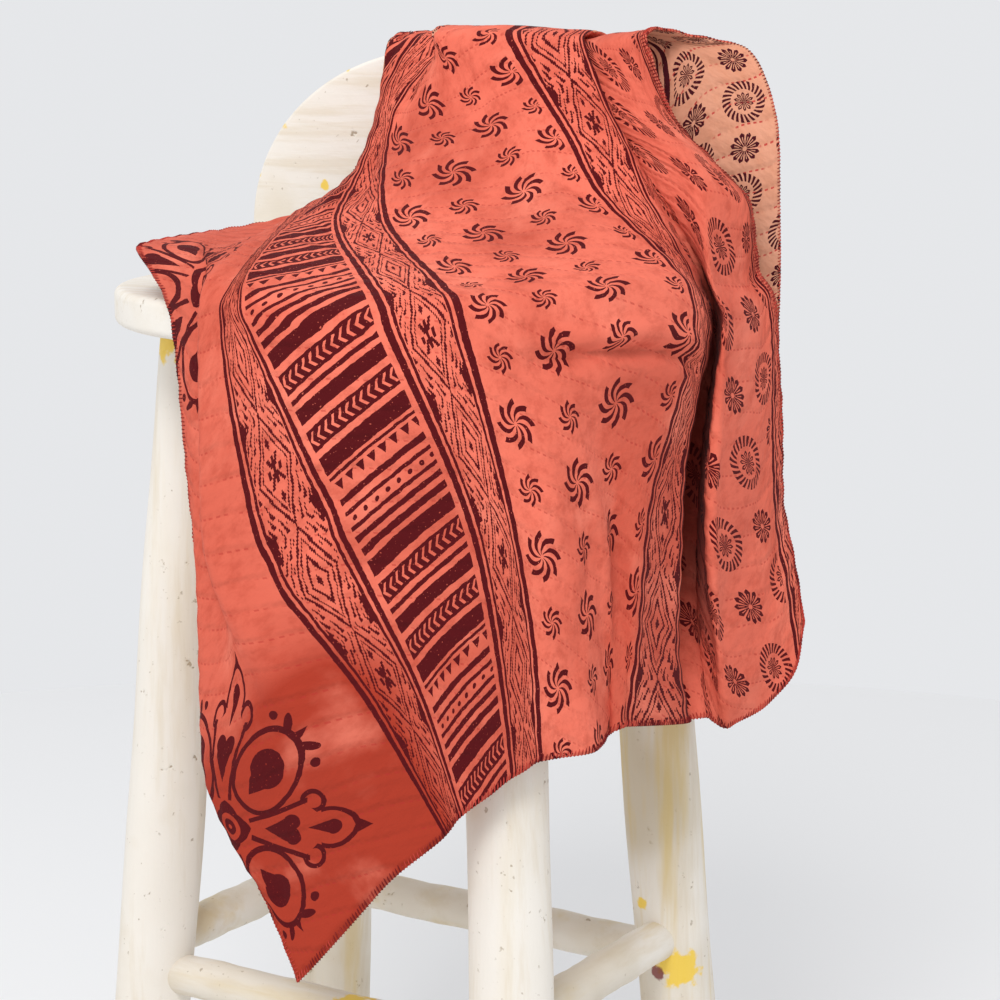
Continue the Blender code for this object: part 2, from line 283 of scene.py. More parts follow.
def wood_piece(node_name, rings):
    """A closed piece through rings of points about the seat's axis. It takes the place of its solid."""
    built = bmesh.new()
    skin(built, [[built.verts.new(place_on_stool(*point)) for point in ring] for ring in rings])
    bmesh.ops.recalc_face_normals(built, faces=built.faces)
    made = mesh_object("washed_" + node_name, built)
    made.data.set_sharp_from_angle(angle=radians(50))
    made.data.materials.append(washed_wood(node_name))
    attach(made, "root")
    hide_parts(node_name)


SEAT_THICKNESS = 0.024
SEAT_REAR = 0.0627  # the straight rear edge, where the board stands
SEAT_EDGE = 0.0055  # radius of the rounded edge
SEAT_FLAT = 0.014  # how far in from the outline the flat face's last ring lies
SEAT_STEPS = 80


def seat_outline(inset):
    """The seat's round outline with its straight rear edge, drawn in by inset."""
    radius = SEAT_RADIUS - inset
    corner = pi - acos(SEAT_REAR / radius)
    turns = [corner * (step / SEAT_STEPS - 1) for step in range(2 * SEAT_STEPS + 1)]
    return [(radius * sin(turn), -radius * cos(turn)) for turn in turns]


quarter = [radians(15 * step) for step in range(7)]
rim = [(SEAT_EDGE * (1 - sin(turn)), SEAT_EDGE * (1 - cos(turn)) - SEAT_THICKNESS) for turn in quarter]
rim += [(SEAT_EDGE * (1 - cos(turn)), SEAT_EDGE * (sin(turn) - 1)) for turn in quarter] + [(SEAT_FLAT, 0)]
wood_piece("seat", [[(x, y, level) for x, y in seat_outline(inset)] for inset, level in rim])

BOARD_HALF_WIDTH, BOARD_RISE, BOARD_SHOULDER = 0.180, 0.1515, 0.028
BOARD_MIDDLE_Y, BOARD_HALF_THICKNESS = 0.072, 0.009
BOARD_EDGE, BOARD_FLAT = 0.0032, 0.012  # as the seat's
BOARD_DOME = 2.3  # 2 is an ellipse, and more is a fuller dome
BOARD_STEPS = 96


def board_outline(inset):
    """The board seen from the front: straight sides under a domed top, drawn in by inset."""
    points = [(BOARD_HALF_WIDTH, -SEAT_THICKNESS), (-BOARD_HALF_WIDTH, -SEAT_THICKNESS)]
    for step in range(BOARD_STEPS + 1):
        share = -cos(pi * step / BOARD_STEPS)
        dome = sqrt(max(0.0, 1 - abs(share) ** BOARD_DOME))
        points.append((BOARD_HALF_WIDTH * share, BOARD_SHOULDER + (BOARD_RISE - BOARD_SHOULDER) * dome))
    middle = (BOARD_RISE - SEAT_THICKNESS) / 2
    width, height = 1 - inset / BOARD_HALF_WIDTH, 1 - inset / (BOARD_RISE - middle)
    return [(x * width, middle + (z - middle) * height) for x, z in points]


flat_side = BOARD_HALF_THICKNESS - BOARD_EDGE
edge = [(BOARD_EDGE * (1 - sin(turn)), -flat_side - BOARD_EDGE * cos(turn)) for turn in quarter]
edge += [(BOARD_EDGE * (1 - cos(turn)), flat_side + BOARD_EDGE * sin(turn)) for turn in quarter]
edge = [(BOARD_FLAT, -BOARD_HALF_THICKNESS)] + edge + [(BOARD_FLAT, BOARD_HALF_THICKNESS)]
wood_piece("back_board",
           [[(x, BOARD_MIDDLE_Y + y, z) for x, z in board_outline(inset)] for inset, y in edge])

SEAT_HEIGHT = 0.690
JOINT_GAP = 0.0003
POLE_RADIUS, POLE_TENON = 0.026, 0.018
POLE_HEAD = (0.112, 0.078)  # a leg's centre from the seat's axis, at the seat's top
POLE_SPLAY = (0.0667, 0.0579)
POLE_SHARES = (0, 0.25, 0.5, 0.75, 1)
POLE_FULLNESS = (0.97, 1.0, 1.02, 1.01, 0.96)
POLE_END, POLE_ARRIS = 0.9, 0.0025  # an end face's share of the pole, and its bevel's length
POLE_RINGS, POLE_SIDES = 28, 48
PEEL = 0.0006  # taken off a leg's radius, so that its peeled lumps stay inside the solid
# A hand-peeled pole's lumps: height, lumps round it, turns along it, and shift from pole to pole.
PEEL_WAVES = ((0.0005, 3, 11, 1), (0.0004, 2, -23, 2))
STRETCHER_POLE, STRETCHER_SWELL, STRETCHER_PEEL = 0.0135, 0.04, 0.7  # radius; shares of it and of the lumps
STRETCHER_RINGS, STRETCHER_SIDES = 20, 32
# Which side of the seat's axis each leg stands on, and which two legs each stretcher joins, at what drop.
LEGS = {"leg_front_left": (-1, -1), "leg_front_right": (1, -1),
        "leg_rear_left": (-1, 1), "leg_rear_right": (1, 1)}
STRETCHERS = {
    "stretcher_front": ((-1, -1), (1, -1), 0.463),
    "stretcher_rear": ((-1, 1), (1, 1), 0.463),
    "stretcher_left": ((-1, -1), (-1, 1), 0.446),
    "stretcher_right": ((1, -1), (1, 1), 0.446),
}


def leg_centre(sides, drop):
    """A place on a leg's centre line, drop below the seat's top."""
    x, y = (side * (head + splay * drop) for side, head, splay in zip(sides, POLE_HEAD, POLE_SPLAY))
    return Vector((x, y, -drop))


def peeled(turn, share, seed):
    """How far a hand-peeled pole stands proud of round."""
    return sum(high * sin(lumps * turn + wind * share + shift * seed)
               for high, lumps, wind, shift in PEEL_WAVES)


def turns_of(sides):
    """The angles of a ring's points."""
    return [2 * pi * step / sides for step in range(sides)]


for seed, (name, sides) in enumerate(LEGS.items()):
    rings = []
    head = SEAT_THICKNESS + JOINT_GAP
    for share in [0] + [step / POLE_RINGS for step in range(POLE_RINGS + 1)] + [1]:
        centre = leg_centre(sides, head + share * (SEAT_HEIGHT - SEAT_THICKNESS - JOINT_GAP))
        radius = POLE_RADIUS * np.interp(share, POLE_SHARES, POLE_FULLNESS) - PEEL
        ring = [(radius + peeled(turn, share, seed), turn) for turn in turns_of(POLE_SIDES)]
        rings.append([centre + Vector((r * cos(turn), r * sin(turn), 0)) for r, turn in ring])
    for ring, inner, rise in ((rings[0], rings[1], -POLE_ARRIS), (rings[-1], rings[-2], POLE_ARRIS)):
        middle = sum(inner, Vector()) / len(inner)
        ring[:] = [middle + (point - middle) * POLE_END for point in inner]
        inner[:] = [point + Vector((0, 0, rise)) for point in inner]
    wood_piece(name, rings)

for seed, (name, (first, last, drop)) in enumerate(STRETCHERS.items()):
    start, end = leg_centre(first, drop), leg_centre(last, drop)
    along = (end - start).normalized()
    start, end = start + along * POLE_TENON, end - along * POLE_TENON
    sideways = along.cross(Vector((0, 0, 1))).normalized()
    upward = sideways.cross(along)
    rings = []
    for share in [step / STRETCHER_RINGS for step in range(STRETCHER_RINGS + 1)]:
        radius = STRETCHER_POLE * (1 + STRETCHER_SWELL * sin(pi * share))
        ring = [(radius + STRETCHER_PEEL * peeled(turn, 2 * share, 5 + seed), turn)
                for turn in turns_of(STRETCHER_SIDES)]
        centre = start.lerp(end, share)
        rings.append([centre + sideways * r * cos(turn) + upward * r * sin(turn) for r, turn in ring])
    wood_piece(name, rings)

# ---- Quilt: its drape ----
# One sheet of two thin cottons quilted together, coral on the face and peach on the back. Its weight holds
# it on the board's top edge and on the seat's rim. Each section is a line of the cloth from the rear hem
# to the front hem, and where x turns back from section to section the cloth lies in pleats.

MM = 0.001
BOARD_Y, BOARD_TOP, BOARD_HALF = 72, 151.5, 9  # its middle, top and half thickness
CLOTH = 1.3  # thickness
CLOTH_STAND = 4.1  # from the board's faces and top edge to the middle of the lowest layer
LEG_TOP_Y, LEG_RADIUS = 78, 26
BEHIND_BOARD = 6  # how much more the cloth stands off the board's rear face
LEAN_FROM, LEAN_OVER = 70, 80  # height where it starts to lean out to the rear legs, and over how much
REAR_SHARES = (0, 0.3, 0.6, 0.85)  # of the way up from the rear hem to the shoulder
REAR_ROLL, FRONT_ROLL = (0.2, 4), (0.1, 5)  # over the board's edges: share to the next place, and drop
LOW = -130  # height of the places named low
KNEE_SHARE = 0.57  # of the way down from low to the front hem, where the knee is
STEPS_ALONG = (18, 18, 12, 12, 12, 6, 6, 18, 18, 18, 24, 12, 18, 18, 18)
STEPS_ACROSS = 11

# Each section from the rear hem to the front hem. First line: its place across the flat quilt; x, how far
# a fold stands out and height at the rear hem; x where the folds are drawn in; x, y, height behind the
# board's top. Second: x and height on the top; x, y, height at the fall, the foot and the slope. Third:
# angle about the seat's axis from -Y towards +X, radius and height just inside the rim and just past it;
# angle and radius at low and at the knee; and the same with height at the front hem.
SECTIONS = (
    ("left hem", 0, (-118, 2, 20), -56, (-50, 86, 136),
     (-50, 155.6), (-62, 56, 104), (-86, 20, 42), (-126, -40, 31),
     (-31, 187, 29), (-13.5, 197, -1), (-7.5, 199), (-1, 195), (14, 206, -404)),
    ("left field", 30, (-108, 6, 0), -32, (-28, 86.5, 136),
     (-28, 155.6), (-42, 56, 104), (-80, 18, 46), (-104, -50, 33),
     (-22, 166, 32), (-5, 200, 8), (-5.5, 203), (-5, 204), (18, 207, -388)),
    ("left valley", 70, (-98, 2, -30), -6, (-4, 87, 136),
     (-5, 155.6), (-16, 55, 104), (-71, 15, 50), (-74, -44, 34),
     (-8, 182, 23), (2, 200, -2), (2.5, 202), (1, 209), (25, 207, -358)),
    ("left fold", 110, (-90, 4, -55), 22, (20, 87.5, 136),
     (18, 155.6), (10, 54, 104), (-67, 11, 55), (-60, -44, 44),
     (-3, 196, 18), (-2, 209, 0), (-2, 211), (13, 210), (31, 207, -333)),
    ("border 1 left", 145, (-80, 3, -80), 44, (40, 88.5, 137),
     (40, 156.6), (32, 53, 105), (-62, 8, 60), (-55, -46, 47),
     (2, 198, 14), (1.6, 208, -2), (7, 209), (27, 208), (39, 207, -310)),
    ("border 1 right", 195, (-64, 22, -110), -10, (-10, 90.5, 139),
     (-10, 157.8), (-18, 50, 108), (-57, 6, 64), (-46, -46, 50),
     (4, 197, 10), (6.4, 207, -5), (24, 207), (36, 207), (42, 206, -297)),
    ("ladder middle", 228, (-50, 44, -130), -62, (-58, 92.5, 141),
     (-57, 158.8), (-58, 46, 112), (-52, 4, 67), (-36, -48, 50),
     (15, 195, 7), (17.3, 205, -8), (34, 206), (41, 207), (46, 207, -287)),
    ("border 2 left", 262, (-32, 44, -150), -55, (-53, 94.5, 142),
     (-34, 160.2), (-54, 43, 115), (-46, 2, 68), (-26, -50, 46),
     (28, 194, 5), (29.9, 204, -12), (43.5, 206), (48, 206), (50, 207, -277)),
    ("under fold", 287, (-14, 22, -165), -34, (-32, 94.5, 142),
     (-16, 160.2), (-48, 42, 111), (-32, 0, 64), (-4, -52, 44),
     (35, 194, 5), (36.6, 204, -12), (48, 206), (51.5, 206), (53, 206, -272)),
    ("border 2 right", 312, (2, 10, -180), 8, (4, 95, 142),
     (2, 160.4), (-42, 40, 104), (-18, -5, 67), (16, -50, 42),
     (41.7, 194, 5), (42.8, 204, -12), (51, 206), (54.5, 206), (55.5, 206, -268)),
    ("whirl one", 372, (16, 34, -205), -6, (-9, 98, 143),
     (-10, 162.4), (-18, 42, 116), (18, 6, 84), (56, -36, 52),
     (55, 194, 5), (55.8, 204, -14), (62, 207), (64, 207), (66, 208, -266)),
    ("whirl two", 425, (32, 58, -225), -20, (-21, 101, 145),
     (-22, 164.6), (14, 44, 121), (56, 20, 90), (92, -8, 58),
     (70, 195, 5), (70, 205, -18), (70.5, 198), (70.5, 196), (70.8, 197, -262)),
    ("border 3 left", 479, (62, 26, -240), 44, (38, 100, 144),
     (35, 163.4), (66, 46, 122), (94, 36, 93), (118, 26, 64),
     (92, 195, 5), (90.2, 205, -22), (77, 206), (74.5, 206), (72.7, 206, -256)),
    ("border 3 right", 529, (90, 42, -255), 104, (98, 97, 142),
     (95, 161), (120, 46, 113), (138, 42, 86), (152, 38, 60),
     (99, 195, 5), (98.2, 204, -20), (90.5, 198), (91, 198), (94.5, 201, -270)),
    ("right valley", 585, (110, 6, -265), 68, (64, 90, 136),
     (62, 153), (102, 52, 110), (138, 50, 80), (160, 46, 54),
     (107, 194, 6), (108, 200, -22), (107, 191), (103, 194), (101, 203, -272)),
    ("flap edge", 640, (132, 30, -270), 106, (100, 91.5, 138),
     (98, 156.5), (136, 50, 110), (168, 44, 84), (190, 38, 58),
     (99, 204, 6), (97.8, 214, -16), (93, 214), (97, 214), (103.5, 213, -280)),
    ("flap middle", 690, (160, 8, -270), 160, (140, 98, 146),
     (120, 160), (152, 56, 108), (184, 58, 80), (203, 64, 52),
     (112, 213, 6), (111.5, 223, -12), (108, 226), (110, 231), (112, 235, -271)),
    ("right hem", 745, (184, 22, -262), 214, (186, 107, 150),
     (140, 162), (160, 62, 104), (186, 70, 76), (206, 78, 50),
     (116, 224, 8), (116.3, 234, -8), (118, 242), (117, 250), (116, 256, -219)),
)
# Soft creases pressed into the cloth: from and to, across and along from the front hem; width; height.
CREASES = (
    ("whirl ridge", (376, 208), (450, 4), 11, 4.5),
    ("whirl valley", (410, 190), (480, 0), 13, -3.6),
    ("whirl soft ridge", (322, 56), (366, 215), 12, 2.6),
    ("whirl soft valley", (346, 40), (388, 120), 11, -2.4),
    ("rim shoulder", (300, 279), (500, 272), 12, 4.5),
    ("rim crease", (360, 242), (508, 227), 5, -8.5),
    ("rim crease fold", (352, 254), (508, 239), 6, 4.0),
    ("rim crease lip", (372, 230), (500, 216), 6, 1.6),
    ("field fold", (128, 168), (215, 184), 10, 3.6),
    ("field fold shadow", (140, 192), (212, 206), 10, -4.0),
    ("left fold roll", (118, 60), (121, 450), 10, 4.0),
    ("field lower fold", (10, 60), (140, 150), 15, 2.5),
    ("field hem fold", (25, 20), (90, 150), 12, -2.2),
    ("ladder soft fold", (190, 120), (280, 150), 16, 1.8),
    ("valley groove", (550, 12), (556, 208), 15, -23.0),
    ("flap edge roll", (639, 0), (639, 235), 10, 3.2),
    ("upper valley", (560, 250), (575, 320), 12, -6.0),
    ("border 3 edge", (520, 20), (528, 205), 10, 3.0),
    ("flap crease", (600, 20), (700, 130), 14, -2.8),
    ("flap crease two", (640, 10), (735, 60), 10, 2.2),
    ("flap crease three", (610, 150), (690, 235), 13, 2.4),
    ("board drape one", (330, 330), (350, 430), 12, 3.0),
    ("board drape two", (400, 330), (400, 430), 14, -3.0),
    ("board drape three", (450, 330), (440, 420), 12, 3.0),
)
REAR_WAVE, REAR_WAVE_WIDTH = 5.0, 37.0  # the close folds that the cloth falls in behind the stool
REAR_FROM, REAR_OVER = 610, 120  # where along the cloth they begin, and over how much
REAR_DRIFT, REAR_DRIFT_LENGTH = 9, 55  # how far sideways they stray, and over what length
SOFT_WAVE = 0.9  # height of the slow unevenness to the right of the left fold and along the front hem
SOFT_ACROSS, SOFT_HEM = (112, 25), (60, 30)  # where it begins in each, and over how much it grows
PUCKER = 0.45  # height of the swells between the rows of running stitch
FACE_ROW, FACE_SLANT = 20.0, 0.5  # from one row of stitches to the next, and their lean per mm across
# The flap's lower corner is let out by CORNER_ROUND: at CORNER_ACROSS, over its width and height.
CORNER_ACROSS, CORNER_WIDTH, CORNER_HEIGHT = 722, 20, 70
CORNER_ROUND = (5.4, 3.4, -4.2)


def on_axis(angle, radius, height):
    """A place in mm about the seat's axis."""
    return (radius * sin(radians(angle)), -radius * cos(radians(angle)), height)


def behind_legs(height):
    """How far back the cloth hangs at a height, to clear the board and the rear legs."""
    leg = LEG_TOP_Y - POLE_SPLAY[1] * height + LEG_RADIUS + CLOTH_STAND
    board = BOARD_Y + BOARD_HALF + CLOTH_STAND + BEHIND_BOARD
    share = min(max((LEAN_FROM - height) / LEAN_OVER, 0.0), 1.0)
    return board + (leg - board) * share


def section_places(section):
    """The places that one section of the quilt passes through, from rear hem to front hem."""
    _, _, rear, back, shoulder, top, fall, foot, slope, edge, turn, low, knee, hem = section
    reach = BOARD_HALF + CLOTH_STAND
    layer = max(0, top[1] - BOARD_TOP - CLOTH_STAND)
    places = []
    for share in REAR_SHARES:
        height = rear[2] + share * (shoulder[2] - rear[2])
        stand = rear[1] * (1 - share) + share * (shoulder[1] - behind_legs(shoulder[2]))
        places.append((rear[0] + (back - rear[0]) * share, behind_legs(height) + stand, height))
    knee_height = LOW + KNEE_SHARE * (hem[2] - LOW)
    (rear_share, rear_drop), (front_share, front_drop) = REAR_ROLL, FRONT_ROLL
    return places + [
        shoulder,
        (top[0] + rear_share * (shoulder[0] - top[0]), BOARD_Y + reach + layer, top[1] - rear_drop),
        (top[0], BOARD_Y, top[1]),
        (top[0] + front_share * (fall[0] - top[0]), BOARD_Y - reach - layer, top[1] - front_drop),
        fall, foot, slope,
        on_axis(*edge), on_axis(*turn), on_axis(*low, LOW), on_axis(*knee, knee_height), on_axis(*hem),
    ]


def slopes(values, knots):
    """Slopes at the knots for a curve through values that doesn't swing past them."""
    rates = np.diff(values, axis=0) / np.diff(knots)[:, None]
    before, after = rates[:-1], rates[1:]
    agree = before * after > 0
    total = np.where(agree, before + after, 1.0)
    between = np.where(agree, 2 * before * after / total, 0.0)
    return np.concatenate([rates[:1], between, rates[-1:]])


def read_curve(values, knots, wanted):
    """Places on a smooth curve through values, at the wanted distances between the knots."""
    tangents = slopes(values, knots)
    at = np.clip(np.searchsorted(knots, wanted, side="right") - 1, 0, len(knots) - 2)
    width = (knots[at + 1] - knots[at])[:, None]
    t = (wanted - knots[at])[:, None] / width
    from_start = values[at] * (1 + 2 * t) * (1 - t) ** 2 + tangents[at] * width * t * (1 - t) ** 2
    to_end = values[at + 1] * t * t * (3 - 2 * t) - tangents[at + 1] * width * t * t * (1 - t)
    return from_start + to_end


def spread(knots, steps):
    """The knots with each gap between them divided into its number of steps."""
    parts = [np.linspace(a, b, n, endpoint=False) for a, b, n in zip(knots, knots[1:], steps)]
    return np.concatenate(parts + [knots[-1:]])


def relaxed(grid, rounds):
    """The grid with the kinks between its sections eased, its hems kept in line."""
    for _ in range(rounds):
        eased = grid.copy()
        eased[1:-1] += 0.25 * (grid[2:] - 2 * grid[1:-1] + grid[:-2])
        grid = eased.copy()
        eased[:, 1:-1] += 0.25 * (grid[:, 2:] - 2 * grid[:, 1:-1] + grid[:, :-2])
        grid = eased
    return grid


def face_normals(grid):
    """Unit normals of the coral face at each point of the grid."""
    along = np.gradient(grid, axis=1)
    across = np.gradient(grid, axis=0)
    normal = np.cross(along, across)
    return normal / np.maximum(np.linalg.norm(normal, axis=2, keepdims=True), 1e-6)


def creased(grid, across, along):
    """The grid with the creases, the rear folds and the pucker pressed into it, and a rounded corner."""
    lift = np.zeros(grid.shape[:2])
    for _, start, end, width, height in CREASES:
        run = np.array(end, float) - np.array(start, float)
        share = ((across - start[0]) * run[0] + (along - start[1]) * run[1]) / (run @ run)
        near = np.clip(share, 0, 1)
        away = np.hypot(across - start[0] - near * run[0], along - start[1] - near * run[1])
        ends = np.clip(1 - np.abs(near - 0.5) * 0.9, 0, 1)
        lift += height * ends * np.exp(-((away / width) ** 2))
    rear = np.clip((along - REAR_FROM) / REAR_OVER, 0, 1)
    drift = REAR_DRIFT * np.sin(along / REAR_DRIFT_LENGTH)
    lift += REAR_WAVE * rear * np.sin((across + drift) * 2 * pi / REAR_WAVE_WIDTH) ** 2
    free = np.clip((across - SOFT_ACROSS[0]) / SOFT_ACROSS[1], 0, 1)
    free = np.clip(free + np.clip((SOFT_HEM[0] - along) / SOFT_HEM[1], 0, 1), 0, 1)
    waves = np.sin(across / 15 + 2 * np.sin(along / 63))
    lift += SOFT_WAVE * free * waves * np.sin(along / 24 + across / 90)
    lift += PUCKER * np.cos(2 * pi * (along + across * FACE_SLANT) / FACE_ROW)
    corner = np.exp(-(((across - CORNER_ACROSS) / CORNER_WIDTH) ** 2))
    corner = corner * np.clip(1 - along / CORNER_HEIGHT, 0, 1)
    return grid + face_normals(grid) * lift[:, :, None] + corner[:, :, None] * np.array(CORNER_ROUND)


def cloth_grid():
    """The middle of the cloth in mm, [across][along][x, y, z], with each point's place in the flat quilt."""
    sections = []
    for section in SECTIONS:
        places = np.array(section_places(section), float)
        lengths = np.linalg.norm(np.diff(places, axis=0), axis=1)
        knots = np.concatenate([[0.0], np.cumsum(np.sqrt(lengths))])
        sections.append(read_curve(places, knots, spread(knots, STEPS_ALONG)))
    widths = np.array([section[1] for section in SECTIONS], float)
    wanted = spread(widths, [STEPS_ACROSS] * (len(widths) - 1))
    stations = np.array(sections).transpose(1, 0, 2)
    grid = np.array([read_curve(station, widths, wanted) for station in stations]).transpose(1, 0, 2)
    steps = np.linalg.norm(np.diff(grid, axis=1), axis=2)
    along = np.zeros(grid.shape[:2])
    along[:, :-1] = np.cumsum(steps[:, ::-1], axis=1)[:, ::-1]
    across = np.repeat(wanted[:, None], grid.shape[1], axis=1)
    return creased(relaxed(grid, 4), across, along), across, along


cloth, cloth_across, cloth_along = cloth_grid()


def sheet_object(name, grid, across, along):
    """A sheet through the grid, each corner carrying its place in the flat quilt in metres."""
    built = bmesh.new()
    flat = built.loops.layers.uv.new("flat quilt")
    rows = [[built.verts.new(SEAT_AXIS + Vector(point) * MM) for point in column] for column in grid]
    for i, (left, right) in enumerate(zip(rows, rows[1:])):
        for j in range(len(left) - 1):
            face = built.faces.new((left[j], left[j + 1], right[j + 1], right[j]))
            corners = ((i, j), (i, j + 1), (i + 1, j + 1), (i + 1, j))
            for loop, (a, b) in zip(face.loops, corners):
                loop[flat].uv = (across[a, b] * MM, along[a, b] * MM)
    return mesh_object(name, built)


quilt = sheet_object("kantha_quilt", cloth, cloth_across, cloth_along)
thickness = quilt.modifiers.new("two layers of cotton", "SOLIDIFY")
thickness.thickness = CLOTH * MM
thickness.offset = 0.0
thickness.use_even_offset = False
thickness.material_offset = 1
thickness.material_offset_rim = 0

# ---- Quilt: block prints, running stitch, dye and painted shade ----
# Block prints in dark red on dyed cotton. The face has lengthwise fields: plain with a medallion, ladder,
# whirls, and rings with stars, parted by ikat-like borders. The back has rings and stars. Rows of running
# stitch go through both cottons. Shader groups draw all of it in the quilt's own flat millimetres.
# Painted shade darkens the face low on the left and next to the right valley, and a painted shadow fills its
# deep fold.

BORDER_MIDDLES = (170, 287, 504, 747)
BORDER_HALF = 25
LADDER, WHIRLS, RINGS = (195, 262), (312, 479), (529, 722)  # where each field starts and ends
FIELD_EDGES = (3.5, 4, 3)  # how far the print of each stays inside its field
PRINT_SHEAR = 0.27  # the borders' cross lines climb this much per mm across, up to PRINT_LEVEL
PRINT_LEVEL = 300
PRINT_START = 52  # the middle of a border's diamond, along


def flat_place(group):
    """The group's place in the flat quilt, in mm: across from the left hem, along from the front hem."""
    split = group.tree.nodes.new("ShaderNodeSeparateXYZ")
    fill(split, {"Vector": group.place("Flat")})
    return Field(split.outputs["X"]) * 1000, Field(split.outputs["Y"]) * 1000


def repeat(field, period):
    """The field folded to the distance from the nearest multiple of period."""
    return field - ((field / period).math("ROUND") * period)


def turn_and_reach(p, q):
    """Polar form of a place: turns from 0 to 1 and distance."""
    turns = q.math("ARCTAN2", p) * (0.5 / pi) + 0.5
    return turns, ((p * p) + (q * q)).math("SQRT")


def build_border():
    """A 50 mm border round p = 0: edge lines, a thin line with swells, and a chain of stepped diamonds."""
    group = Group("ikat border", ("Across", "Along"), ("Ink",))
    out = abs(group.read("Across").math("SNAP", 0.7))
    along = group.read("Along").math("SNAP", 1.6)
    link = 69.0
    q = abs(repeat(along, link))
    starry = abs(repeat((along / link).math("ROUND"), 2.0)).below(0.5)
    ring = out + q * 0.39
    inward = (out - 17.6) + q.ramp(22, 34) * 3.6
    ink = out.near(22.7, 2.3) | (out.below(18.5) & inward.above(-0.9))
    strand = ring / 3.4
    flame = ((along / 13.0) + strand.math("FLOOR") * 0.41).math("FRACT")
    chain = strand.math("FRACT").below(flame * -0.72 + 0.66) & ring.above(15.2)
    chain = chain | ring.near(12.9, 0.8) | ring.near(10.0, 0.45)
    diamond = ring.near(5.8, 0.75) | ring.below(1.6)
    star = (out.below(1.2) & q.below(8)) | ((out - q * 0.42).near(0.4, 1.1) & q.near(5, 3.5))
    star = star | (out + abs(q - 16) * 0.42).below(1.6) | (out.near(4, 1) & q.below(2.4))
    chain = chain | (diamond & starry.flipped()) | (star & starry)
    group.give("Ink", ink | (chain & out.below(16)))
    return group.tree


# A ladder's crosswise bars from the top down, each with its width and the gap under it in mm.
LADDER_START = 307.9
TRIANGLE, ARROW = 3.9, 2.5  # half the pitch of the small shapes cut into the bars
LADDER_BARS = (
    ("bar", 11, 2), ("bar", 2, 2), ("triangles", 6, 4), ("bar", 4, 4), ("bar", 2.5, 2), ("dots", 3, 2),
    ("bar", 2.5, 3.5), ("bar", 3.5, 3.5), ("bar", 4.5, 3.5), ("bar", 10, 4.5), ("arrows", 13, 3.5),
    ("bar", 3, 3.5), ("bar", 9, 4.5), ("arrows", 13, 4),
)


def ladder_ink(across, along):
    """Crosswise bars, some cut into triangles, dots or arrows."""
    period = sum(size + gap for _, size, gap in LADDER_BARS)
    down = ((along * -1) + LADDER_START).math("FLOORED_MODULO", period)
    ink = None
    start = 0.0
    for kind, size, gap in LADDER_BARS:
        middle, end = start + size / 2, start + size
        bar = down.near(middle, size / 2)
        if kind == "triangles":
            bar = bar & across.math("PINGPONG", TRIANGLE).below((down * -0.48) + 0.48 * end)
        elif kind == "dots":
            aside, off = across.math("PINGPONG", TRIANGLE), down - middle
            bar = ((aside * aside) + (off * off)).below(2.3)
        elif kind == "arrows":
            off = abs(down - middle)
            leaning = (off * -0.62 + across).math("PINGPONG", ARROW)
            bar = bar & (leaning.below(0.85) & off.below(4.3)).flipped()
        ink = bar if ink is None else ink | bar
        start = end + gap
    return ink


def build_whirl():
    """A pinwheel of eight curved arms that widen outwards, of radius 1 about the origin."""
    group = Group("whirl", ("Across", "Along"), ("Ink",))
    turns, reach = turn_and_reach(group.read("Across"), group.read("Along"))
    arm = ((turns * 8) + (reach * reach * 1.1) + (reach * 0.7)).math("FRACT")
    width = (reach * 0.40) + 0.28
    ink = arm.below(width) & reach.below((arm * 0.32) + 0.80)
    group.give("Ink", ink & reach.above(0.09))
    return group.tree


def build_ring_and_star():
    """Twisted rings with a small flower inside, and stars, in turn on a lattice of cells."""
    group = Group("ring and star", ("Column", "Row", "Wide", "Tall"), ("Ink",))
    column, row = group.read("Column"), group.read("Row")
    p, q = repeat(column, 1.0) * group.read("Wide"), repeat(row, 1.0) * group.read("Tall")
    odd = abs(repeat(column.math("ROUND") + row.math("ROUND"), 2.0))
    turns, reach = turn_and_reach(p, q)
    strand = ((turns * 24) + (reach * 0.11)).math("FRACT").below(0.55)
    ring = strand & reach.near(13.6, 3.3)

    def petals(count, length, core, hollow):
        ray = (turns * count).math("FRACT").math("PINGPONG", 0.5)
        whole = reach.below((ray * 5) + length) & ray.above(0.13)
        return whole & ((ray.above(core) & reach.near(*hollow)).flipped())

    flower = petals(10, 5.4, 0.40, (4.5, 1.6))
    star = petals(12, 9.2, 0.42, (6.5, 2.0)) & reach.above(1.6)
    group.give("Ink", ((ring | flower) & odd.below(0.5)) | (star & odd.above(0.5)))
    return group.tree


def ellipse(a, b, middle, half_long, half_wide):
    """0 at the middle of an ellipse along a and 1 on its outline."""
    x = (a - middle) / half_long
    y = b / half_wide
    return ((x * x) + (y * y)).math("SQRT")


def wedge(a, b, start, end, growth):
    """1 inside a wedge about the a axis, from its point at start to its full width at end."""
    return a.near((start + end) / 2, abs(end - start) / 2) & ((a - start) * growth - b).above(0)


